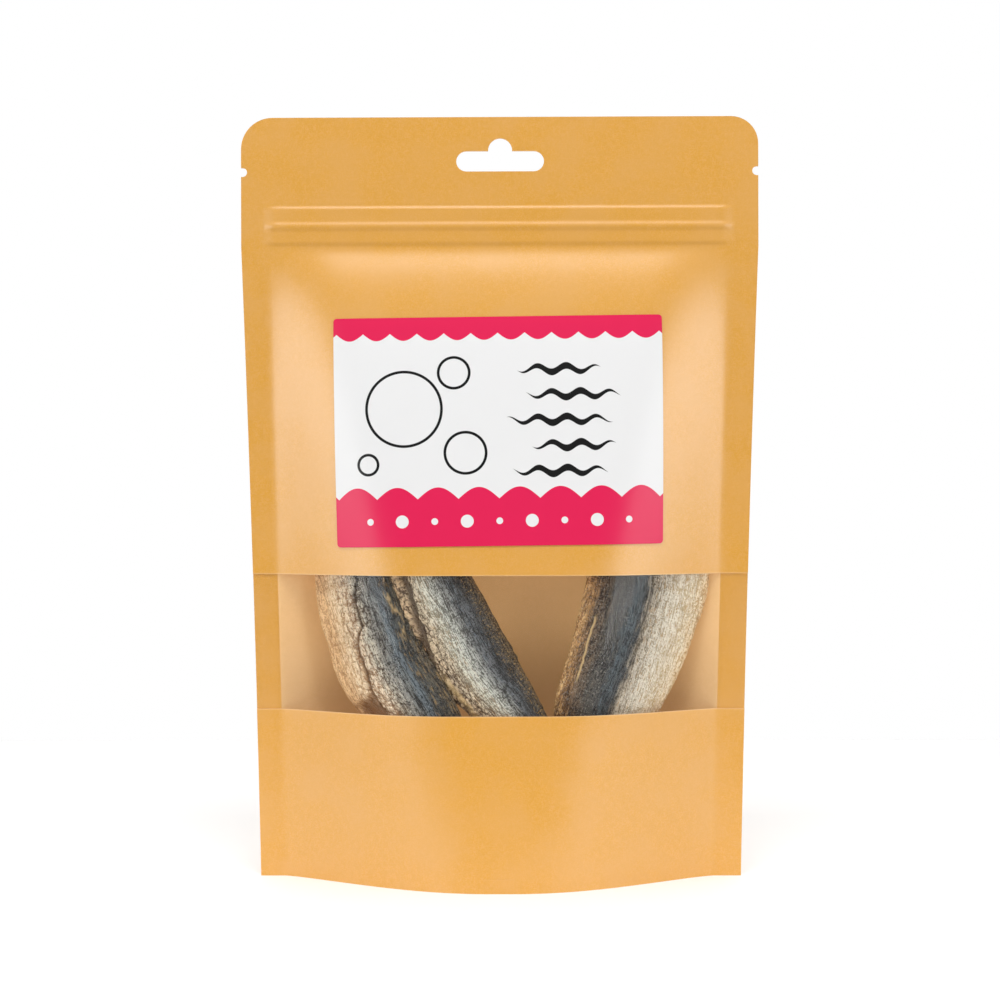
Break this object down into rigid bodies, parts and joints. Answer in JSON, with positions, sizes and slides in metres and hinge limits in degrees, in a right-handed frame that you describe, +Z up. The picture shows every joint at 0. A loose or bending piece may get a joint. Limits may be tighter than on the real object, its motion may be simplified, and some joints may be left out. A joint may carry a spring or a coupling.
{
  "type": "stand-up pouch of dried herring",
  "caption": "Kraft paper stand-up pouch, shut, with a full-width clear window that shows whole dried fish, a plain label, a zip and a hang hole.",
  "frame": {"origin": "on the floor, under the middle of the pouch", "axes": "+Z up, -Y out of the front with the window and the label, +X to the right seen from the front"},
  "size_m": [0.1896, 0.0604, 0.278],
  "materials": {
    "kraft_paper": "matt coated kraft laminate",
    "clear_film": "thin clear glossy film",
    "label_paper": "satin coated sticker",
    "dried_fish": "dry wrinkled fish skin"
  },
  "bodies": {
    "root": {"pouch": "kraft_paper", "window_film": "clear_film", "label": "label_paper", "herring_left": "dried_fish", "herring_middle": "dried_fish", "herring_right": "dried_fish"}
  },
  "joints": []
}
